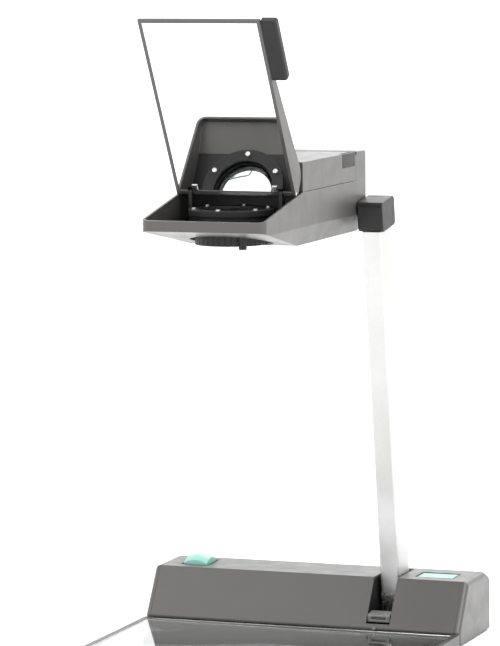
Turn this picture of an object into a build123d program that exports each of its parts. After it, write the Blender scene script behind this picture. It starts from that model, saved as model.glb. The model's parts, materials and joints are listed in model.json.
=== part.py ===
from build123d import *
import os
from math import cos, sin, radians

os.makedirs("parts", exist_ok=True)

# Portable overhead projector with a reflective stage, standing open for use.
# Millimetres. X runs along the rear housing, +Y points to the rear, +Z is up.
# The origin is on the table, under the middle of the base.

# Base
BASE_W = 350.0
BASE_L = 450.0
HALF_W = BASE_W / 2
HALF_L = BASE_L / 2
FOOT_H = 2.5
PAN_FLOOR = 5.0
PAN_TOP = 14.0
PAN_WALL = 3.0
PAN_ROUND = 12.0
PLATE_W = 336.0
PLATE_Y = (-215.0, 105.0)
PLATE_Z = 9.0
PLATE_GAP = 0.3

# Rear housing
WALL = 2.5
HOUSE_FRONT = 111.0
HOUSE_RIDGE = 142.0
HOUSE_Z = 64.5
HOUSE_FOOT_X = 169.0
HOUSE_STEP_Z = 16.5
SEAM = 0.3

# Column that carries the head, leaning forward out of its slot
ARM_X = 85.0
ARM_W = 21.0
ARM_D = 37.0
ARM_WALL = 2.0
LEAN = 8.5
ARM_PIVOT_Y = 178.8
ARM_PIVOT_Z = 26.0
ARM_LEN = 428.4
ARM_PIN_R = 4.0
SLOT_X = (72.0, 98.0)
SLOT_SILL = 20.0
SLOT_BACK = 199.5
BLOCK_X = (71.2, 98.5)
BLOCK_D = 42.0
BLOCK_H = 31.0

# Head
HEAD_X = (-58.0, 70.0)
HEAD_MID = 6.0
HEAD_BACK = 126.5
LIP_Y = -183.0
LIP_TOP = 463.0
LIP_BOTTOM = 452.8
LIP_ROUND = 9.0
BOX_FRONT = -69.5
BULKHEAD_Y = -57.0
HEAD_BOTTOM = 431.0
HEAD_KEEL_Y = -65.5
HEAD_SEAM = 484.5
HEAD_TOP = 514.5
BEVEL_Z = 450.0
BEVEL_IN = 8.0
COVER_BACK = 94.5
HEAD_PIVOT_Y = ARM_PIVOT_Y - ARM_LEN * sin(radians(LEAN))
HEAD_PIVOT_Z = ARM_PIVOT_Z + ARM_LEN * cos(radians(LEAN))
HEAD_PIN_R = 4.0
HEAD_PIN_END = 95.0
RUN_FIT = 0.05

# Lens, focus disc and lamp
LENS_Y = -100.5
RING_R = 42.4
RING_TOP = 470.0
DECK_Z = 447.0
DISC_R = 36.0
DISC_Z = (435.0, 446.4)
DISC_ROOM = 41.5
PEG_ANGLE = -52.0
PEG_R = 4.0
PEG_Z = (432.0, 444.5)
LAMP_Y = -9.0
LAMP_Z = 470.0
FAN_Y = 78.0
FAN_Z = 468.0
FAN_SIZE = 60.0

# Mirror lid
LID_X = (-56.3, 69.0)
LID_PIVOT_Y = -85.7
LID_PIVOT_Z = 484.4
LID_ANGLE = 60.0
LID_LEN = 201.5
LID_BAR_R = 2.6
LID_FACE = -LID_BAR_R
LID_WALL = 2.2
LID_BAR = 3.5
GLASS_W = (-2.1, -0.6)
LID_PIN_R = 1.5

# Lamp cover hinge
COVER_PIVOT_Y = COVER_BACK + 0.25
COVER_PIVOT_Z = 512.8
COVER_PIN_R = 1.0


def block(x, y, z):
    """Box between two values on each axis."""
    size = (x[1] - x[0], y[1] - y[0], z[1] - z[0])
    middle = ((x[0] + x[1]) / 2, (y[0] + y[1]) / 2, (z[0] + z[1]) / 2)
    return Pos(*middle) * Box(*size)


def rod_x(x, y, z, r):
    """Cylinder along X."""
    return Pos((x[0] + x[1]) / 2, y, z) * Rot(0, 90, 0) * Cylinder(r, x[1] - x[0])


def rod_y(x, y, z, r):
    """Cylinder along Y."""
    return Pos(x, (y[0] + y[1]) / 2, z) * Rot(90, 0, 0) * Cylinder(r, y[1] - y[0])


def rod_z(x, y, z, r):
    """Cylinder along Z."""
    return Pos(x, y, (z[0] + z[1]) / 2) * Cylinder(r, z[1] - z[0])


def side_profile(points, x, radii=()):
    """Outline in Y and Z, with chosen corners rounded, drawn out along X."""
    face = make_face(Polyline(*points, close=True))
    for index, r in radii:
        corner = face.vertices().sort_by_distance((*points[index], 0))[0]
        face = fillet(corner, r)
    return extrude(Plane.YZ.offset(x[0]) * face, amount=x[1] - x[0])


def front_profile(points, y):
    """Outline in X and Z, drawn out along Y."""
    face = make_face(Polyline(*points, close=True))
    return extrude(Plane.XZ.offset(-y[1]) * face, amount=y[1] - y[0])


def plan_plate(width, length, radius, y, z):
    """Plate with rounded corners, lying flat."""
    face = RectangleRounded(width, length, radius)
    return Pos(0, y, z[0]) * extrude(face, amount=z[1] - z[0])


# ---------------------------------------------------------------- base and stage

def screw_places():
    return [(x, y) for x in (-150, 150) for y in (-212, 130)]


def end_recess():
    """Space in the pan's rear corners that the end caps fill."""
    right = block((HOUSE_FOOT_X, HALF_W + 1), (HOUSE_FRONT, HALF_L + 1), (0, PAN_TOP + 1))
    left = block((-HALF_W - 1, -HOUSE_FOOT_X), (HOUSE_FRONT, HALF_L + 1), (0, PAN_TOP + 1))
    return right + left


def base_pan():
    """Shallow tray: wide under the stage, a little narrower under the housing."""
    deep = (PAN_FLOOR, PAN_TOP + 1)
    pan = plan_plate(BASE_W, BASE_L, PAN_ROUND, 0, (FOOT_H, PAN_TOP)) - end_recess()
    pan -= front_well(0, deep)
    side = HOUSE_FOOT_X - PAN_WALL
    pan -= block((-side, side), (HOUSE_FRONT - PAN_WALL - 1, HALF_L - PAN_WALL), deep)
    pan += plate_ledge()
    for x, y in screw_places():
        pan -= rod_z(x, y, (0, 9.5), 1.6)
    return pan


def front_well(gap, z):
    """Room inside the tray in front of the housing, with rounded corners."""
    inset = PAN_WALL + gap
    room = plan_plate(BASE_W - 2 * inset, BASE_L - 2 * inset, PAN_ROUND - inset, 0, z)
    return room & block((-HALF_W, HALF_W), (-HALF_L, HOUSE_FRONT - inset), z)


def pan_screws():
    screws = Part()
    for x, y in screw_places():
        screws += rod_z(x, y, (1.8, FOOT_H), 3.4) + rod_z(x, y, (FOOT_H, 8), 1.6)
    return screws


def rubber_feet():
    feet = Part()
    for x in (-155, 155):
        for y in (-190, 195):
            feet += rod_z(x, y, (0, FOOT_H), 9)
    return feet


def plate_ledge():
    """Raised rim on the pan's floor that carries the stage plates."""
    x = PLATE_W / 2 + 1.5
    outer = block((-x, x), (PLATE_Y[0] - 1.5, PLATE_Y[1] + 1.5), (PAN_FLOOR, PLATE_Z))
    x = PLATE_W / 2 - 4
    return outer - block((-x, x), (PLATE_Y[0] + 4, PLATE_Y[1] - 4), (0, 10))


def stage_plate(z):
    return block((-PLATE_W / 2, PLATE_W / 2), PLATE_Y, z)


def stage_bezel():
    """Narrow strip round the stage plate, flush with it."""
    x = PLATE_W / 2 + PLATE_GAP
    window = block((-x, x), (PLATE_Y[0] - PLATE_GAP, PLATE_Y[1] + PLATE_GAP), (0, 30))
    return front_well(PLATE_GAP, (PLATE_Z, PAN_TOP)) - window


# ---------------------------------------------------------------- rear housing

HOUSE_POINTS = [
    (HOUSE_FRONT, PAN_TOP),
    (HOUSE_FRONT, HOUSE_STEP_Z),
    (HOUSE_RIDGE, HOUSE_Z),
    (207.0, HOUSE_Z),
    (HALF_L, 57.0),
    (HALF_L, PAN_TOP),
]


def house_solid(x, bottom=PAN_TOP):
    points = [(y, bottom if z == PAN_TOP else z) for y, z in HOUSE_POINTS]
    return side_profile(points, x, [(2, 2.0), (3, 8.0), (4, 8.0)])


def house_inside(x):
    """Hollow of the housing, one wall smaller than its outside."""
    points = [
        (HOUSE_FRONT + WALL, PAN_TOP - 1),
        (HOUSE_FRONT + WALL, HOUSE_STEP_Z + 0.4),
        (HOUSE_RIDGE + 1.2, HOUSE_Z - WALL),
        (206.0, HOUSE_Z - WALL),
        (HALF_L - WALL, 55.4),
        (HALF_L - WALL, PAN_TOP - 1),
    ]
    return side_profile(points, x)


def middle(gap):
    """Space of the housing's middle, between the two end caps."""
    x = HOUSE_FOOT_X + gap
    return block((-x, x), (HOUSE_FRONT - 1, HALF_L + 1), (0, HOUSE_Z + 5))


WELL_X = (-152.0, -119.0)
WELL_Y = (154.0, 194.0)
GUIDE_X = (111.5, 155.0)
GUIDE_Y = (155.5, 186.5)
REAR_X = (-125.0, 60.0)
REAR_Z = (21.0, 51.0)


def housing_shell():
    shell = house_solid((-HOUSE_FOOT_X, HOUSE_FOOT_X))
    shell -= house_inside((-HOUSE_FOOT_X + WALL, HOUSE_FOOT_X - WALL))
    shell -= block(SLOT_X, (HOUSE_FRONT - 1, SLOT_BACK), (SLOT_SILL, HOUSE_Z + 1))
    shell -= block(WELL_X, WELL_Y, (40, HOUSE_Z + 1))
    shell -= block(GUIDE_X, GUIDE_Y, (40, HOUSE_Z + 1))
    shell -= block(REAR_X, (HALF_L - WALL - 1, HALF_L + 1), REAR_Z)
    return shell


def end_cap(side):
    cap = house_solid((150.0, HALF_W), FOOT_H)
    rim = [e for e in cap.edges() if e.center().X > HALF_W - 0.01 and e.center().Z > FOOT_H + 1]
    rim = [e for e in rim if e.center().Y < HALF_L - 4 or e.center().Z > 50]
    cap = fillet(rim, 5.5)
    cap -= middle(SEAM)
    cap += house_inside((HOUSE_FOOT_X, HOUSE_FOOT_X + 1))
    return cap if side > 0 else mirror(cap, Plane.YZ)


def rear_cover():
    cover = block(REAR_X, (HALF_L - WALL, HALF_L), REAR_Z)
    cover -= block((-111, -79), (200, 230), (25, 47))
    cover -= rod_y(-60, (200, 230), 36, 6.5)
    for i in range(14):
        x = -38 + 6.5 * i
        cover -= block((x, x + 3), (200, 230), (26, 46))
    return cover


def mains_inlet():
    body = block((-111, -79), (200, HALF_L), (25, 47))
    return body - block((-107, -83), (207, HALF_L + 1), (28, 44))


def inlet_pins():
    pins = Part()
    for x, z in ((-102, 34), (-95, 39), (-88, 34)):
        pins += block((x - 1, x + 1), (207, 219), (z - 2.5, z + 2.5))
    return pins


def fuse_holder():
    holder = rod_y(-60, (204, HALF_L), 36, 6.5)
    return holder - block((-64, -56), (HALF_L - 1, HALF_L + 1), (35.4, 36.6))


def switch_well():
    well = block(WELL_X, WELL_Y, (49, HOUSE_Z))
    return well - block((-150, -121), (156, 192), (51.5, HOUSE_Z + 1))


ROCKER_Y = 174.0
ROCKER_Z = 58.0


def lamp_rocker():
    body = block((-148.5, -122.5), (158.5, 189.5), (55.5, 66.5))
    body = fillet(body.edges().filter_by(Axis.Z), 5)
    dome = Pos(-135.5, ROCKER_Y, 44) * Sphere(29.5)
    dome = dome & block((-148.5, -122.5), (158.5, 189.5), (64, 80))
    return body + dome - rod_x((-160, -110), ROCKER_Y, ROCKER_Z, 1.5 + RUN_FIT)


def rocker_pin():
    return rod_x((-150, -121), ROCKER_Y, ROCKER_Z, 1.5)


def button_guide():
    guide = block(GUIDE_X, GUIDE_Y, (52, HOUSE_Z))
    return guide - block((113.5, 153), (157.5, 184.5), (54, HOUSE_Z + 1))


def arm_release_button():
    button = block((114, 152.5), (158, 184), (58, 64))
    return button - block((127, 139.5), (165, 177), (57, 60))


def button_spring():
    ring = rod_z(133.25, 171, (54, 59.7), 5) - rod_z(133.25, 171, (50, 70), 4)
    return ring


def transformer_core():
    core = block((-60, 18), (150, 182), (PAN_FLOOR, 53))
    core -= block((-47, -34), (140, 190), (14, 44))
    core -= block((-8, 5), (140, 190), (14, 44))
    return core


def transformer_coil():
    coil = block((-46.7, 4.7), (141, 191), (14.3, 43.7))
    return coil - block((-34.2, -7.8), (149.8, 182.2), (0, 60))


def board_posts():
    posts = Part()
    for x in (-136, -76):
        for y in (154, 196):
            posts += rod_z(x, y, (PAN_FLOOR, 10), 3)
    return posts


def control_board():
    return block((-140, -72), (150, 200), (10, 11.6))


def board_components():
    parts = block((-134, -114), (160, 175), (11.6, 27))
    parts += rod_z(-100, 165, (11.6, 31), 7)
    parts += rod_z(-83, 165, (11.6, 31), 7)
    parts += block((-112, -86), (182, 190), (11.6, 22))
    return parts


# ---------------------------------------------------------------- column bearing and catch

def arm_bracket():
    bracket = block((66, 70), (160, 196), (PAN_FLOOR, 44))
    bracket += block((100, 104), (160, 196), (PAN_FLOOR, 44))
    bracket += block((66, 104), (160, 196), (PAN_FLOOR, 7))
    return bracket - rod_x((60, 110), ARM_PIVOT_Y, ARM_PIVOT_Z, ARM_PIN_R)


def arm_pin():
    pin = rod_x((64, 106), ARM_PIVOT_Y, ARM_PIVOT_Z, ARM_PIN_R)
    pin += rod_x((62, 66), ARM_PIVOT_Y, ARM_PIVOT_Z, 6.5)
    pin += rod_x((104, 108), ARM_PIVOT_Y, ARM_PIVOT_Z, 6.5)
    return pin


def slot_liner():
    """Dark lining of the slot: two cheeks and a back wall."""
    outer = (SLOT_X[0] - 1.8, SLOT_X[1] + 1.8)
    liner = house_inside(outer) & block(outer, (HOUSE_FRONT + WALL, SLOT_BACK + 1.8), (PAN_TOP, 80))
    liner -= block(SLOT_X, (HOUSE_FRONT - 1, SLOT_BACK), (0, 80))
    return liner - rod_x((60, 110), ARM_PIVOT_Y, ARM_PIVOT_Z, ARM_PIN_R + 0.3)


CATCH_Y = 131.0
CATCH_Z = 26.0


def catch_lever():
    points = [(116, 29), (117, 21), (131, 20), (137, 26), (131, 31)]
    lever = side_profile(points, (73, 97), [(0, 1.5), (1, 1.5), (3, 3.0)])
    lever -= block((77, 93), (112, 121), (24, 27))
    return lever - rod_x((60, 110), CATCH_Y, CATCH_Z, 2.0 + RUN_FIT)


def catch_pin():
    return rod_x(SLOT_X, CATCH_Y, CATCH_Z, 2.0)


def index_stud():
    stud = rod_y(82.5, (108.6, HOUSE_FRONT), 15.8, 1.4)
    return stud + Pos(82.5, 108.2, 15.8) * Sphere(1.6)


# ---------------------------------------------------------------- column

def on_arm(shape):
    """Place a shape drawn upright about the column's lower pivot."""
    return Pos(0, ARM_PIVOT_Y, ARM_PIVOT_Z) * Rot(LEAN, 0, 0) * shape


def arm_span():
    return (ARM_X - ARM_W / 2, ARM_X + ARM_W / 2)


def column_tube():
    length = ARM_LEN - BLOCK_H / 2 - 22
    face = RectangleRounded(ARM_W, ARM_D, 2.5)
    hole = RectangleRounded(ARM_W - 2 * ARM_WALL, ARM_D - 2 * ARM_WALL, 1.5)
    return on_arm(Pos(ARM_X, 0, 22) * extrude(face - hole, amount=length))


def column_foot():
    body = rod_x(arm_span(), 0, 0, ARM_D / 2)
    body += block(arm_span(), (-ARM_D / 2, ARM_D / 2), (0, 22))
    inset = ARM_WALL + 0.6
    x = (arm_span()[0] + inset, arm_span()[1] - inset)
    body += block(x, (-ARM_D / 2 + inset, ARM_D / 2 - inset), (22, 34))
    body -= rod_x((60, 110), 0, 0, ARM_PIN_R + RUN_FIT)
    return on_arm(body)


def hinge_block():
    half = BLOCK_D / 2
    low = ARM_LEN - BLOCK_H / 2
    body = block(BLOCK_X, (-half, half), (low, low + BLOCK_H))
    body = fillet(body.edges().filter_by(Axis.X), 5)
    body = fillet(body.edges().filter_by(Axis.Z), 1.2)
    body -= rod_x((60, HEAD_PIN_END), 0, ARM_LEN, HEAD_PIN_R)
    return on_arm(body)


def head_pin():
    return on_arm(rod_x((54, HEAD_PIN_END), 0, ARM_LEN, HEAD_PIN_R))


def pivot_washer():
    ring = rod_x((70.3, BLOCK_X[0]), 0, ARM_LEN, 9) - rod_x((60, 80), 0, ARM_LEN, HEAD_PIN_R)
    return on_arm(ring)


# ---------------------------------------------------------------- head shell

def bevel_cuts(inset):
    """Wedges that slope the head's lower side edges inwards."""
    low = HEAD_BOTTOM - 5
    step = BEVEL_IN * (BEVEL_Z - low) / (BEVEL_Z - HEAD_BOTTOM)
    x0 = HEAD_X[0] + inset
    x1 = HEAD_X[1] - inset
    right = [(x1, BEVEL_Z), (x1 - step, low), (x1 + 9, low), (x1 + 9, BEVEL_Z)]
    left = [(x0, BEVEL_Z), (x0 - 9, BEVEL_Z), (x0 - 9, low), (x0 + step, low)]
    span = (LIP_Y - 5, HEAD_BACK + 5)
    return front_profile(right, span) + front_profile(left, span)


def head_inside():
    """Room inside the lower shell, open at the top."""
    front = LIP_Y + WALL
    points = [
        (front, 520),
        (front, LIP_BOTTOM + 2.8),
        (HEAD_KEEL_Y + 0.3, HEAD_BOTTOM + WALL),
        (HEAD_BACK - WALL, HEAD_BOTTOM + WALL),
        (HEAD_BACK - WALL, 520),
    ]
    room = side_profile(points, (HEAD_X[0] + WALL, HEAD_X[1] - WALL))
    corners = [e for e in room.edges().filter_by(Axis.Z) if e.center().Y < front + 1]
    return fillet(corners, LIP_ROUND - WALL) - bevel_cuts(WALL)


def head_shell():
    points = [
        (LIP_Y, LIP_TOP),
        (LIP_Y, LIP_BOTTOM),
        (HEAD_KEEL_Y, HEAD_BOTTOM),
        (HEAD_BACK - 5, HEAD_BOTTOM),
        (HEAD_BACK, HEAD_BOTTOM + 8),
        (HEAD_BACK, HEAD_SEAM),
        (BOX_FRONT, HEAD_SEAM),
    ]
    shell = side_profile(points, HEAD_X)
    corners = [e for e in shell.edges().filter_by(Axis.Z) if e.center().Y < LIP_Y + 1]
    shell = fillet(corners, LIP_ROUND)
    shell = shell - bevel_cuts(0) - head_inside()
    shell -= rod_z(HEAD_MID, LENS_Y, (420, 460), DISC_ROOM)
    shell -= block((-24, 36), (-34, 16), (HEAD_BOTTOM - 1, 440))
    for i in range(15):
        x = -43 + 6.5 * i
        shell -= block((x, x + 3), (118, 130), (446, 478))
    boss = rod_x((57, HEAD_X[1] - WALL), HEAD_PIVOT_Y, HEAD_PIVOT_Z, 8)
    shell += boss & head_inside()
    return shell - rod_x((50, 75), HEAD_PIVOT_Y, HEAD_PIVOT_Z, HEAD_PIN_R + RUN_FIT)


def bulkhead():
    """Wall between the lens tray and the lamp box."""
    return block(HEAD_X, (BULKHEAD_Y, BULKHEAD_Y + WALL), (430, HEAD_SEAM - 0.5)) & head_inside()


POST_X = ((-43.0, -39.5), (52.0, 55.5))


def hinge_posts():
    posts = Part()
    for x in POST_X:
        post = block(x, (-90, -81.4), (DECK_Z + 2.5, 487.5))
        posts += fillet(post.edges().filter_by(Axis.X).sort_by(Axis.Z)[-2:], 2.5)
    return posts - rod_x((-60, 80), LID_PIVOT_Y, LID_PIVOT_Z, LID_PIN_R)


def hinge_rod():
    return rod_x(LID_X, LID_PIVOT_Y, LID_PIVOT_Z, LID_PIN_R)


def spring_clips():
    """Bright clips that hold the glass's two lower corners."""
    clips = Part()
    for x in ((-38.5, -33.0), (46.0, 51.0)):
        clips += block(x, (-10, -LID_BAR), (LID_FACE - 0.6, GLASS_W[0]))
    return on_lid(clips)


def rear_cap():
    points = [
        (COVER_BACK + 0.5, HEAD_SEAM),
        (HEAD_BACK, HEAD_SEAM),
        (HEAD_BACK, HEAD_TOP),
        (COVER_BACK + 4, HEAD_TOP),
        (COVER_BACK + 0.5, HEAD_TOP - 3.5),
    ]
    cap = side_profile(points, HEAD_X, [(2, 4.0)])
    cap -= block((HEAD_X[0] + WALL, HEAD_X[1] - WALL), (97.5, HEAD_BACK - WALL), (480, 512))
    cap -= rod_x((-70, 80), COVER_PIVOT_Y, COVER_PIVOT_Z, 2.6)
    for x in ((-19.7, -5), (17, 31.7)):
        cap += rod_x(x, COVER_PIVOT_Y, COVER_PIVOT_Z, 1.7)
        cap += block(x, (COVER_PIVOT_Y, 99), (511.4, 512.8))
    return cap - rod_x((-70, 80), COVER_PIVOT_Y, COVER_PIVOT_Z, COVER_PIN_R)


def lamp_cover():
    points = [
        (BOX_FRONT, HEAD_SEAM + 0.5),
        (BOX_FRONT, HEAD_TOP),
        (COVER_BACK - 3.5, HEAD_TOP),
        (COVER_BACK, HEAD_TOP - 3.5),
        (COVER_BACK, HEAD_SEAM + 0.5),
    ]
    cover = side_profile(points, HEAD_X, [(1, 1.5)])
    x = (HEAD_X[0] + WALL, HEAD_X[1] - WALL)
    cover -= block(x, (BOX_FRONT + WALL, COVER_BACK - 5), (480, HEAD_TOP - WALL))
    cover -= rod_x((-70, 80), COVER_PIVOT_Y, COVER_PIVOT_Z, 2.6)
    cover -= block(x, (COVER_BACK - 6, COVER_BACK + 1), (480, 505))
    cover -= block((63.9, 72), LATCH_Y, (500.2, 520))
    for i in range(12):
        y = -40 + 6 * i
        cover -= block((-60, -50), (y, y + 2.5), (494, 506))
    for knuckle in ((-40, -20), (32, 52)):
        cover += rod_x(knuckle, COVER_PIVOT_Y, COVER_PIVOT_Z, 1.7)
        cover += block(knuckle, (90.5, COVER_PIVOT_Y), (511.4, 512.8))
    return cover - rod_x((-70, 80), COVER_PIVOT_Y, COVER_PIVOT_Z, COVER_PIN_R + RUN_FIT)


LATCH_Y = (52.6, 91.6)


def cover_rod():
    return rod_x((-42, 54), COVER_PIVOT_Y, COVER_PIVOT_Z, COVER_PIN_R)


def latch_button():
    return block((66.4, 70.2), (LATCH_Y[0] + 0.4, LATCH_Y[1] - 0.4), (500.6, 514.2))


# ---------------------------------------------------------------- lens and focus

def lens_deck():
    """Floor of the tray that carries the lens ring."""
    deck = block(HEAD_X, (-148, BULKHEAD_Y), (DECK_Z, DECK_Z + 2.5)) & head_inside()
    return deck - rod_z(HEAD_MID, LENS_Y, (440, 460), 34.6)


def lens_ring():
    ring = rod_z(HEAD_MID, LENS_Y, (DECK_Z + 2.5, RING_TOP), RING_R - 2.4)
    ring += rod_z(HEAD_MID, LENS_Y, (RING_TOP - 6, RING_TOP), RING_R)
    ring -= rod_z(HEAD_MID, LENS_Y, (440, RING_TOP - 3), 34.0)
    return ring - rod_z(HEAD_MID, LENS_Y, (440, RING_TOP + 1), 31.0)


def ring_screws():
    screws = Part()
    for i in range(6):
        angle = radians(60 * i + 30)
        x = HEAD_MID + 37.2 * cos(angle)
        y = LENS_Y + 37.2 * sin(angle)
        screws += rod_z(x, y, (RING_TOP, RING_TOP + 1.6), 2.4)
    return screws


def lens_barrel():
    barrel = rod_z(HEAD_MID, LENS_Y, (451.5, 461.9), 33.4)
    barrel -= rod_z(HEAD_MID, LENS_Y, (453.5, 470), 30.5)
    return barrel - rod_z(HEAD_MID, LENS_Y, (440, 470), 25.0)


def lens_element(z, bulge):
    """Plano-convex glass, flat face down."""
    edge = 2.0
    r = 30.4
    sphere_r = (r * r + bulge * bulge) / (2 * bulge)
    cap = Pos(HEAD_MID, LENS_Y, z + edge + bulge - sphere_r) * Sphere(sphere_r)
    cap = cap & rod_z(HEAD_MID, LENS_Y, (z + edge, z + edge + bulge + 1), r)
    return rod_z(HEAD_MID, LENS_Y, (z, z + edge), r) + cap


def focus_disc():
    """Knurled ring, with a seat in its rim for the knob."""
    disc = rod_z(HEAD_MID, LENS_Y, DISC_Z, DISC_R)
    for i in range(36):
        angle = radians(10 * i)
        x = HEAD_MID + (DISC_R + 0.4) * cos(angle)
        y = LENS_Y + (DISC_R + 0.4) * sin(angle)
        disc -= rod_z(x, y, (DISC_Z[0] - 1, DISC_Z[1] + 1), 1.0)
    x, y = peg_place()
    disc -= rod_z(x, y, PEG_Z, PEG_R)
    return disc - rod_z(HEAD_MID, LENS_Y, (420, 460), 31.0)


def peg_place():
    angle = radians(PEG_ANGLE)
    return (HEAD_MID + DISC_R * cos(angle), LENS_Y + DISC_R * sin(angle))


def focus_peg():
    x, y = peg_place()
    return rod_z(x, y, PEG_Z, PEG_R)


# ---------------------------------------------------------------- lamp and fan

def heat_glass():
    return block((-24, 36), (-34, 16), (HEAD_BOTTOM, HEAD_BOTTOM + WALL))


def lamp_bracket():
    post = block((-8, 20), (16.5, 30), (HEAD_BOTTOM + WALL, 461))
    return post


def lamp_socket():
    return block((-4, 16), (14, 32), (461, 479))


def halogen_lamp():
    bulb = rod_y(HEAD_MID, (-16, 8), LAMP_Z, 6.5) + Pos(HEAD_MID, -16, LAMP_Z) * Sphere(6.5)
    return bulb + block((1, 11), (8, 14), (LAMP_Z - 3, LAMP_Z + 3))


def lamp_reflector():
    bowl = Pos(HEAD_MID, LAMP_Y, LAMP_Z) * Sphere(24)
    bowl -= Pos(HEAD_MID, LAMP_Y, LAMP_Z) * Sphere(22.6)
    return bowl & block((-40, 50), (-40, 40), (LAMP_Z + 10, 520))


def reflector_stay():
    return block((-4, 16), (14, 20), (479, 482)) + block((0, 12), (12.9, 14), (479, 482))


def fan_frame():
    half = FAN_SIZE / 2
    x = (HEAD_MID - half, HEAD_MID + half)
    y = (FAN_Y - 7.5, FAN_Y + 7.5)
    frame = block(x, y, (FAN_Z - half, FAN_Z + half))
    frame -= rod_y(HEAD_MID, (60, 100), FAN_Z, 27.5)
    hub = (FAN_Y + 5.5, FAN_Y + 7.5)
    frame += rod_y(HEAD_MID, hub, FAN_Z, 11)
    frame += block((HEAD_MID - 28, HEAD_MID + 28), hub, (FAN_Z - 1.5, FAN_Z + 1.5))
    frame += block((HEAD_MID - 1.5, HEAD_MID + 1.5), hub, (FAN_Z - 28, FAN_Z + 28))
    return frame


def fan_rotor():
    low = FAN_Y - 6.5
    high = FAN_Y + 5
    rotor = rod_y(HEAD_MID, (low, high), FAN_Z, 11)
    blade = Pos(0, 0, 18) * Rot(0, 0, 35) * Box(12, 1.6, 15)
    for i in range(7):
        turned = Pos(HEAD_MID, FAN_Y - 1, FAN_Z) * Rot(0, 360 / 7 * i, 0) * blade
        rotor += turned
    return rotor


def fan_support():
    half = FAN_SIZE / 2
    x = (HEAD_MID - half, HEAD_MID + half)
    return block(x, (FAN_Y - 6, FAN_Y + 6), (HEAD_BOTTOM + WALL, FAN_Z - half))


# ---------------------------------------------------------------- mirror lid

def on_lid(shape):
    """Place a shape drawn flat, reaching forward from the lid's hinge."""
    return Pos(0, LID_PIVOT_Y, LID_PIVOT_Z) * Rot(-LID_ANGLE, 0, 0) * shape


def mirror_lid():
    """Hollow wedge, open on the glass side: thin at the tip, deep at the hinge."""
    outline = [
        (0, LID_FACE),
        (-LID_LEN, LID_FACE),
        (-LID_LEN, 0.6),
        (-160, 1.6),
        (-122, 9.0),
        (-42, 19.0),
        (-18, 22.8),
        (-7, 21.6),
        (3, 5.0),
    ]
    lid = side_profile(outline, LID_X, [(7, 11.0)]) + rod_x(LID_X, 0, 0, LID_BAR_R)
    hollow = [
        (-LID_BAR, GLASS_W[1]),
        (-155, GLASS_W[1]),
        (-121.5, 6.6),
        (-42, 16.7),
        (-18, 20.4),
        (-10, 18.5),
        (-2, 6.0),
        (-LID_BAR, 3.0),
    ]
    lid -= side_profile(hollow, (LID_X[0] + LID_WALL, LID_X[1] - LID_WALL))
    lid -= glass_plate((LID_FACE - 1, GLASS_W[1] + 0.1))
    for x in POST_X:
        lid -= rod_x((x[0] - 0.6, x[1] + 0.6), 0, 0, 7.0)
    return on_lid(lid - rod_x((-80, 90), 0, 0, LID_PIN_R + RUN_FIT))


def glass_plate(w):
    return block((LID_X[0] + LID_BAR, LID_X[1] - LID_BAR), (-LID_LEN + LID_BAR, -LID_BAR), w)


def mirror_glass():
    glass = glass_plate(GLASS_W)
    for x in POST_X:
        glass -= rod_x((x[0] - 0.6, x[1] + 0.6), 0, 0, 7.0)
    return on_lid(glass)


def lid_grip():
    grip = block((LID_X[1], LID_X[1] + 16), (-LID_LEN + 2, -LID_LEN + 69), (LID_FACE, LID_FACE + 11))
    grip = fillet(grip.edges().filter_by(Axis.Y).sort_by(Axis.X)[-2:], 3.5)
    grip = fillet(grip.edges().filter_by(Axis.Z).sort_by(Axis.X)[-2:], 3.0)
    return on_lid(grip)


PARTS = {
    "base_pan": base_pan(),
    "pan_screws": pan_screws(),
    "rubber_feet": rubber_feet(),
    "reflector_plate": stage_plate((PLATE_Z, 11)),
    "fresnel_plate": stage_plate((11.3, PAN_TOP)),
    "stage_bezel": stage_bezel(),
    "housing_shell": housing_shell(),
    "right_end_cap": end_cap(1),
    "left_end_cap": end_cap(-1),
    "rear_cover": rear_cover(),
    "mains_inlet": mains_inlet(),
    "inlet_pins": inlet_pins(),
    "fuse_holder": fuse_holder(),
    "switch_well": switch_well(),
    "lamp_rocker": lamp_rocker(),
    "rocker_pin": rocker_pin(),
    "button_guide": button_guide(),
    "arm_release_button": arm_release_button(),
    "button_spring": button_spring(),
    "transformer_core": transformer_core(),
    "transformer_coil": transformer_coil(),
    "board_posts": board_posts(),
    "control_board": control_board(),
    "board_components": board_components(),
    "arm_bracket": arm_bracket(),
    "arm_pin": arm_pin(),
    "slot_liner": slot_liner(),
    "catch_lever": catch_lever(),
    "catch_pin": catch_pin(),
    "index_stud": index_stud(),
    "column_tube": column_tube(),
    "column_foot": column_foot(),
    "hinge_block": hinge_block(),
    "head_pin": head_pin(),
    "pivot_washer": pivot_washer(),
    "head_shell": head_shell(),
    "bulkhead": bulkhead(),
    "hinge_posts": hinge_posts(),
    "hinge_rod": hinge_rod(),
    "spring_clips": spring_clips(),
    "rear_cap": rear_cap(),
    "lamp_cover": lamp_cover(),
    "cover_rod": cover_rod(),
    "latch_button": latch_button(),
    "lens_deck": lens_deck(),
    "lens_ring": lens_ring(),
    "ring_screws": ring_screws(),
    "lens_barrel": lens_barrel(),
    "lens_glass": lens_element(453.7, 9),
    "focus_disc": focus_disc(),
    "focus_peg": focus_peg(),
    "heat_glass": heat_glass(),
    "halogen_lamp": halogen_lamp(),
    "lamp_socket": lamp_socket() + lamp_bracket() + reflector_stay(),
    "lamp_reflector": lamp_reflector(),
    "fan_frame": fan_frame() + fan_support(),
    "fan_rotor": fan_rotor(),
    "mirror_lid": mirror_lid(),
    "mirror_glass": mirror_glass(),
    "lid_grip": lid_grip(),
}

for name, shape in PARTS.items():
    export_step(shape, f"parts/{name}.step")
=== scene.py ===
import json
from math import cos, pi, radians, sin

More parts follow.
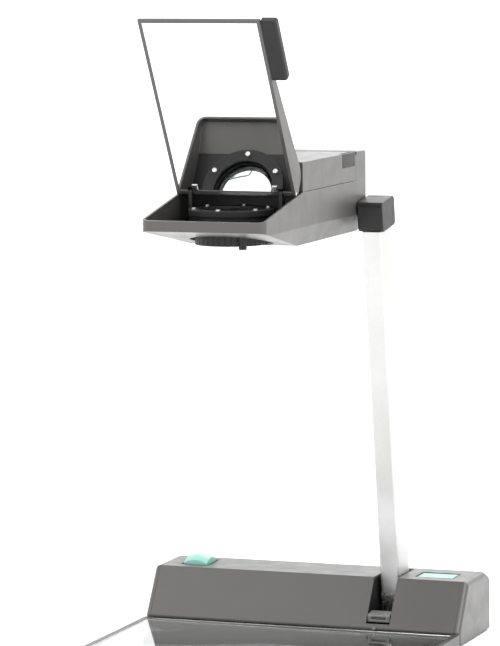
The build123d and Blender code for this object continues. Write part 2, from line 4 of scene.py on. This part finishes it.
import bmesh
import bpy
from mathutils import Matrix, Vector


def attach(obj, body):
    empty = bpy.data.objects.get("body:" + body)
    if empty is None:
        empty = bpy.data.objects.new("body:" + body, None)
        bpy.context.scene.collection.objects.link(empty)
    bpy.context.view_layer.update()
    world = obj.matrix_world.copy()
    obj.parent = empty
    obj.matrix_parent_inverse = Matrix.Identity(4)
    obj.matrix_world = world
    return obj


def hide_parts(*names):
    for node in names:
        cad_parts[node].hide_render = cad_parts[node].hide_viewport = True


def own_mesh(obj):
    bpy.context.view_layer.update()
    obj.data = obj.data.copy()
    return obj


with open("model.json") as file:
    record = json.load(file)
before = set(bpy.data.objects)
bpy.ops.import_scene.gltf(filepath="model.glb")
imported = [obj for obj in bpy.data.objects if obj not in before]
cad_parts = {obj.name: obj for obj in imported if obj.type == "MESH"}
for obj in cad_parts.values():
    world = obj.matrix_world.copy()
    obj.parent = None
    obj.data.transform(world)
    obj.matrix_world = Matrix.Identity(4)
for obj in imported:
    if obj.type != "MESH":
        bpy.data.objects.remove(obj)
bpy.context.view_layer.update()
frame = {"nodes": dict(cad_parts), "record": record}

MM = 0.001
NODES = frame["nodes"]


# ---------------------------------------------------------------- materials

class Shade:
    """One node material, built up step by step."""

    def __init__(self, name):
        self.material = bpy.data.materials.new(name)
        self.material.use_nodes = True
        self.nodes = self.material.node_tree.nodes
        self.links = self.material.node_tree.links
        self.shader = self.nodes["Principled BSDF"]
        self.place = self.add("ShaderNodeTexCoord").outputs["Object"]

    def add(self, kind, **values):
        node = self.nodes.new(kind)
        for key, value in values.items():
            setattr(node, key, value)
        return node

    def set(self, **values):
        for key, value in values.items():
            self.shader.inputs[key.replace("_", " ")].default_value = value

    def stretch(self, size):
        node = self.add("ShaderNodeMapping")
        node.inputs["Scale"].default_value = size
        self.links.new(self.place, node.inputs["Vector"])
        return node.outputs["Vector"]

    def noise(self, scale, detail=3.0, rough=0.5, place=None):
        node = self.add("ShaderNodeTexNoise")
        node.inputs["Scale"].default_value = scale
        node.inputs["Detail"].default_value = detail
        node.inputs["Roughness"].default_value = rough
        self.links.new(place or self.place, node.inputs["Vector"])
        return node.outputs["Fac"]

    def cells(self, scale):
        node = self.add("ShaderNodeTexVoronoi")
        node.inputs["Scale"].default_value = scale
        self.links.new(self.place, node.inputs["Vector"])
        return node.outputs["Distance"]

    def ramp(self, value, low, high, out_low=0.0, out_high=1.0):
        node = self.add("ShaderNodeMapRange")
        node.inputs["From Min"].default_value = low
        node.inputs["From Max"].default_value = high
        node.inputs["To Min"].default_value = out_low
        node.inputs["To Max"].default_value = out_high
        self.links.new(value, node.inputs["Value"])
        return node.outputs["Result"]

    def mix(self, share, a, b):
        """Colour a where share is 0, colour b where it is 1."""
        node = self.add("ShaderNodeMix", data_type="RGBA")
        for socket, value in (("A", a), ("B", b)):
            slot = [s for s in node.inputs if s.name == socket and s.type == "RGBA"][0]
            if hasattr(value, "links"):
                self.links.new(value, slot)
            else:
                slot.default_value = (*value, 1)
        self.links.new(share, node.inputs["Factor"])
        return [s for s in node.outputs if s.type == "RGBA"][0]

    def edges(self, width):
        """1 on sharp edges and 0 on flat faces."""
        bevel = self.add("ShaderNodeBevel", samples=6)
        bevel.inputs["Radius"].default_value = width
        plain = self.add("ShaderNodeNewGeometry").outputs["Normal"]
        dot = self.add("ShaderNodeVectorMath", operation="DOT_PRODUCT")
        self.links.new(bevel.outputs["Normal"], dot.inputs[0])
        self.links.new(plain, dot.inputs[1])
        return self.ramp(dot.outputs["Value"], 0.995, 0.86)

    def colour(self, value):
        self.links.new(value, self.shader.inputs["Base Color"])

    def roughness(self, value):
        self.links.new(value, self.shader.inputs["Roughness"])

    def relief(self, height, depth, strength=1.0, round_edge=0.0006):
        """Surface relief in metres, on edges softened to a small radius."""
        bump = self.add("ShaderNodeBump")
        bump.inputs["Distance"].default_value = depth
        bump.inputs["Strength"].default_value = strength
        self.links.new(height, bump.inputs["Height"])
        if round_edge:
            bevel = self.add("ShaderNodeBevel", samples=6)
            bevel.inputs["Radius"].default_value = round_edge
            self.links.new(bevel.outputs["Normal"], bump.inputs["Normal"])
        self.links.new(bump.outputs["Normal"], self.shader.inputs["Normal"])


def tint(colour, factor):
    return tuple(min(1.0, c * factor) for c in colour)


def moulded(name, colour, rough=0.42, grain=2600, depth=0.00005, edge=0.0009, shine=0.5):
    """Spark-textured moulded plastic: fine cells, slow tone changes and rubbed edges."""
    s = Shade(name)
    s.set(Specular_IOR_Level=shine)
    slow = s.noise(9, 4)
    toned = s.mix(s.ramp(slow, 0.3, 0.7), tint(colour, 0.94), tint(colour, 1.05))
    dust = s.ramp(s.noise(140, 6, 0.65), 0.55, 0.8, 0.0, 0.10)
    dusty = s.mix(dust, toned, tint(colour, 1.5))
    wear = s.add("ShaderNodeMath", operation="MULTIPLY")
    s.links.new(s.edges(0.0012), wear.inputs[0])
    s.links.new(s.ramp(s.noise(60, 5, 0.6), 0.42, 0.7, 0.0, 0.5), wear.inputs[1])
    s.colour(s.mix(wear.outputs[0], dusty, tint(colour, 2.0)))
    s.roughness(s.ramp(s.noise(45, 5), 0.3, 0.7, rough - 0.05, rough + 0.07))
    s.relief(s.cells(grain), depth, 0.5, edge)
    return s.material


def satin_aluminium():
    """Drawn tube: fine lines along its length, satin anodised."""
    s = Shade("column_aluminium")
    s.set(Metallic=1.0, Anisotropic=0.4)
    lines = s.noise(1, 4, 0.6, s.stretch((2600, 2600, 14)))
    drawn = s.mix(s.ramp(lines, 0.3, 0.7), (0.53, 0.53, 0.527), (0.60, 0.597, 0.59))
    s.colour(s.mix(s.edges(0.0016), drawn, (0.36, 0.358, 0.352)))
    s.roughness(s.ramp(s.noise(20, 5), 0.3, 0.7, 0.42, 0.54))
    s.relief(lines, 0.00001, 0.4, 0.0005)
    return s.material


def plated_steel():
    s = Shade("plated_steel")
    s.set(Metallic=1.0)
    smudge = s.noise(220, 5, 0.6)
    s.colour(s.mix(s.ramp(smudge, 0.3, 0.7), (0.55, 0.55, 0.54), (0.72, 0.71, 0.69)))
    s.roughness(s.ramp(s.noise(500, 3), 0.3, 0.7, 0.18, 0.36))
    s.relief(smudge, 0.00002, 0.5, 0.0003)
    return s.material


def plain_metal(name, low, high, rough):
    s = Shade(name)
    s.set(Metallic=1.0)
    s.colour(s.mix(s.ramp(s.noise(300, 5), 0.35, 0.65), low, high))
    s.roughness(s.ramp(s.noise(120, 4), 0.3, 0.7, rough - 0.06, rough + 0.08))
    s.relief(s.noise(900, 3), 0.00002, 0.5, 0.0003)
    return s.material


def silvered(name, rough):
    """Mirror with a faint haze of dust."""
    s = Shade(name)
    s.set(Metallic=1.0)
    haze = s.ramp(s.noise(35, 6, 0.6), 0.4, 0.8)
    s.colour(s.mix(haze, (0.93, 0.935, 0.935), (0.90, 0.90, 0.90)))
    s.roughness(s.ramp(s.noise(90, 5), 0.35, 0.75, rough, rough + 0.03))
    return s.material


def clear_glass(name, colour=(0.93, 0.97, 0.97), rough=0.02):
    s = Shade(name)
    s.set(Transmission_Weight=1.0, IOR=1.5)
    s.colour(s.mix(s.ramp(s.noise(12, 3), 0.3, 0.7), colour, tint(colour, 1.03)))
    s.roughness(s.ramp(s.noise(200, 4), 0.4, 0.8, rough, rough + 0.04))
    return s.material


def circuit_green():
    s = Shade("circuit_green")
    tracks = s.cells(260)
    s.colour(s.mix(s.ramp(tracks, 0.28, 0.34), (0.02, 0.16, 0.07), (0.03, 0.24, 0.11)))
    s.roughness(s.ramp(s.noise(80), 0.3, 0.7, 0.3, 0.45))
    s.relief(tracks, 0.00003)
    return s.material


def black_rubber():
    s = Shade("black_rubber")
    s.colour(s.mix(s.ramp(s.noise(400, 5), 0.3, 0.7), (0.012, 0.012, 0.012), (0.03, 0.03, 0.029)))
    s.roughness(s.ramp(s.noise(90), 0.3, 0.7, 0.72, 0.86))
    s.relief(s.noise(1500, 4), 0.00008)
    return s.material


DARK = (0.048, 0.0455, 0.0435)
MATERIALS = {
    "housing_plastic": moulded("housing_plastic", DARK, 0.33, shine=0.7),
    "trim_plastic": moulded("trim_plastic", (0.009, 0.009, 0.0088), 0.42, shine=0.3),
    "stage_trim": moulded("stage_trim", (0.03, 0.029, 0.028), 0.34),
    "catch_plastic": moulded("catch_plastic", (0.13, 0.132, 0.125), 0.36),
    "teal_plastic": moulded("teal_plastic", (0.20, 0.43, 0.37), 0.30),
    "column_metal": satin_aluminium(),
    "steel": plated_steel(),
    "brass": plain_metal("brass", (0.62, 0.42, 0.16), (0.76, 0.55, 0.24), 0.3),
    "copper_winding": plain_metal("copper_winding", (0.35, 0.12, 0.05), (0.6, 0.25, 0.11), 0.4),
    "iron_core": plain_metal("iron_core", (0.10, 0.10, 0.11), (0.2, 0.2, 0.21), 0.5),
    "board": circuit_green(),
    "mirror": silvered("mirror", 0.01),
    "stage_mirror": silvered("stage_mirror", 0.02),
    "fresnel": clear_glass("fresnel", (0.96, 0.975, 0.975), 0.01),
    "clear_glass": clear_glass("clear_glass"),
    "rubber": black_rubber(),
}


def dress_frame():
    """Every CAD node takes the node material of its slot."""
    for row in frame["record"]["subparts"]:
        mesh = NODES[row["node"]].data
        mesh.materials.clear()
        mesh.materials.append(MATERIALS[row["material_slot"]])


# ---------------------------------------------------------------- grooved stage mirror

STAGE_X = (-168.0, 168.0)
STAGE_Y = (-215.0, 105.0)
GROOVE_CENTRE = (-8.0, 26.0)
GROOVE_FOCUS = 655.0
GROOVE_PITCH = 3.0
GROOVE_RINGS = 101
GROOVE_STEPS = 240
GROOVE_LOW = 9.55
GROOVE_EYE = 0.2
MIRROR_UNDER = 9.0
MIRROR_BACK = 9.5


def ring_points(work, r, z):
    x, y = GROOVE_CENTRE
    turns = [2 * pi * i / GROOVE_STEPS for i in range(GROOVE_STEPS)]
    return [work.verts.new(((x + r * cos(a)) * MM, (y + r * sin(a)) * MM, z * MM)) for a in turns]


def join_rings(work, inner, outer):
    for i in range(GROOVE_STEPS):
        j = (i + 1) % GROOVE_STEPS
        work.faces.new((inner[i], outer[i], outer[j], inner[j]))


def grooved_mirror():
    """Concentric grooves, each facet tilted toward the centre in step with its radius."""
    work = bmesh.new()
    last = None
    for ring in range(GROOVE_RINGS):
        near = max(ring * GROOVE_PITCH, GROOVE_EYE)
        far = (ring + 1) * GROOVE_PITCH
        rise = (far - near) * (near + far) / 2 / GROOVE_FOCUS
        low = ring_points(work, near, GROOVE_LOW)
        high = ring_points(work, far, GROOVE_LOW + rise)
        join_rings(work, low, high)
        if last:
            join_rings(work, last, low)
        last = high
    sides = (
        (STAGE_X[0], 0, -1, 0),
        (STAGE_X[1], 0, 1, 0),
        (0, STAGE_Y[0], 0, -1),
        (0, STAGE_Y[1], 0, 1),
    )
    for x, y, nx, ny in sides:
        everything = work.verts[:] + work.edges[:] + work.faces[:]
        bmesh.ops.bisect_plane(
            work,
            geom=everything,
            plane_co=(x * MM, y * MM, 0),
            plane_no=(nx, ny, 0),
            clear_outer=True,
        )
    levels = (MIRROR_UNDER, MIRROR_BACK)
    spots = [(x * MM, y * MM, z * MM) for x in STAGE_X for y in STAGE_Y for z in levels]
    cube = [work.verts.new(spot) for spot in spots]
    for face in ((0, 2, 6, 4), (1, 5, 7, 3), (0, 4, 5, 1), (2, 3, 7, 6), (0, 1, 3, 2), (4, 6, 7, 5)):
        work.faces.new([cube[i] for i in face])
    mesh = bpy.data.meshes.new("grooved_mirror")
    work.to_mesh(mesh)
    work.free()
    mirror = bpy.data.objects.new("grooved_mirror", mesh)
    bpy.context.scene.collection.objects.link(mirror)
    mesh.materials.append(MATERIALS["stage_mirror"])
    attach(mirror, "base")
    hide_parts("reflector_plate")


# ---------------------------------------------------------------- spring under the button

COIL_PLACE = (133.25, 171.0)
COIL_Z = (54.35, 59.35)
COIL_R = 4.5
COIL_WIRE = 0.3
COIL_TURNS = 5
COIL_STEPS = 32
COIL_SIDES = 8


def button_coil():
    """Wound spring under the button, built at one fixed height."""
    work = bmesh.new()
    last = None
    total = COIL_TURNS * COIL_STEPS
    for i in range(total + 1):
        a = 2 * pi * i / COIL_STEPS
        z = COIL_Z[0] + (COIL_Z[1] - COIL_Z[0]) * i / total
        ring = []
        for k in range(COIL_SIDES):
            b = 2 * pi * k / COIL_SIDES
            r = COIL_R + COIL_WIRE * cos(b)
            x = COIL_PLACE[0] + r * cos(a)
            y = COIL_PLACE[1] + r * sin(a)
            ring.append(work.verts.new((x * MM, y * MM, (z + COIL_WIRE * sin(b)) * MM)))
        if last:
            for k in range(COIL_SIDES):
                n = (k + 1) % COIL_SIDES
                work.faces.new((last[k], ring[k], ring[n], last[n]))
        else:
            work.faces.new(ring)
        last = ring
    work.faces.new(last)
    bmesh.ops.recalc_face_normals(work, faces=work.faces[:])
    mesh = bpy.data.meshes.new("button_coil")
    work.to_mesh(mesh)
    work.free()
    coil = bpy.data.objects.new("button_coil", mesh)
    bpy.context.scene.collection.objects.link(coil)
    mesh.materials.append(MATERIALS["steel"])
    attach(coil, "base")
    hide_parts("button_spring")
    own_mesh(coil)


# ---------------------------------------------------------------- camera, light and floor

CAMERA_AIM = (-0.0531, 0.1108, 0.3323)
CAMERA_DISTANCE = 4.0
CAMERA_AZIMUTH = 20.21
CAMERA_PITCH = 6.23
CAMERA_ROLL = 0.47
CAMERA_LENS = 213.0
FLOOR_HALF = 6.0
WORLD_STRENGTH = 1.6


def make_camera():
    azimuth = radians(CAMERA_AZIMUTH)
    pitch = radians(CAMERA_PITCH)
    away = Vector((sin(azimuth) * cos(pitch), -cos(azimuth) * cos(pitch), sin(pitch)))
    data = bpy.data.cameras.new("camera")
    data.sensor_width = 36
    data.lens = CAMERA_LENS
    data.clip_end = 50
    camera = bpy.data.objects.new("camera", data)
    bpy.context.scene.collection.objects.link(camera)
    turn = away.to_track_quat("Z", "Y").to_matrix().to_4x4()
    place = Matrix.Translation(Vector(CAMERA_AIM) + away * CAMERA_DISTANCE)
    camera.matrix_world = place @ turn @ Matrix.Rotation(radians(-CAMERA_ROLL), 4, "Z")
    bpy.context.scene.camera = camera


def add_light(name, place, target, size, power):
    data = bpy.data.lights.new(name, "AREA")
    data.shape = "RECTANGLE"
    data.size, data.size_y = size
    data.energy = power
    light = bpy.data.objects.new(name, data)
    bpy.context.scene.collection.objects.link(light)
    light.location = place
    light.rotation_euler = (Vector(place) - Vector(target)).to_track_quat("Z", "Y").to_euler()


def make_world():
    world = bpy.data.worlds.new("studio")
    bpy.context.scene.world = world
    world.use_nodes = True
    back = world.node_tree.nodes["Background"]
    back.inputs["Color"].default_value = (1.0, 1.0, 1.0, 1)
    back.inputs["Strength"].default_value = WORLD_STRENGTH


def make_floor():
    mesh = bpy.data.meshes.new("floor")
    work = bmesh.new()
    half = FLOOR_HALF
    for x, y in ((-half, -half), (half, -half), (half, half), (-half, half)):
        work.verts.new((x, y, 0))
    work.faces.new(work.verts)
    work.to_mesh(mesh)
    work.free()
    floor = bpy.data.objects.new("floor", mesh)
    bpy.context.scene.collection.objects.link(floor)
    s = Shade("floor_paper")
    s.colour(s.mix(s.ramp(s.noise(3), 0.3, 0.7), (0.95, 0.95, 0.95), (0.97, 0.97, 0.97)))
    s.set(Roughness=0.9)
    floor.data.materials.append(s.material)


def make_stage():
    make_world()
    make_floor()
    top = (0, 0, 0.3)
    add_light("key", (1.8, -0.6, 1.9), top, (1.6, 1.6), 30)
    add_light("fill", (-1.6, -1.6, 1.5), top, (1.6, 1.6), 12)
    add_light("rim", (0.3, 2.4, 1.8), top, (2.4, 1.4), 25)
    bpy.context.scene.view_settings.view_transform = "Standard"


make_camera()
make_stage()
dress_frame()
grooved_mirror()
button_coil()
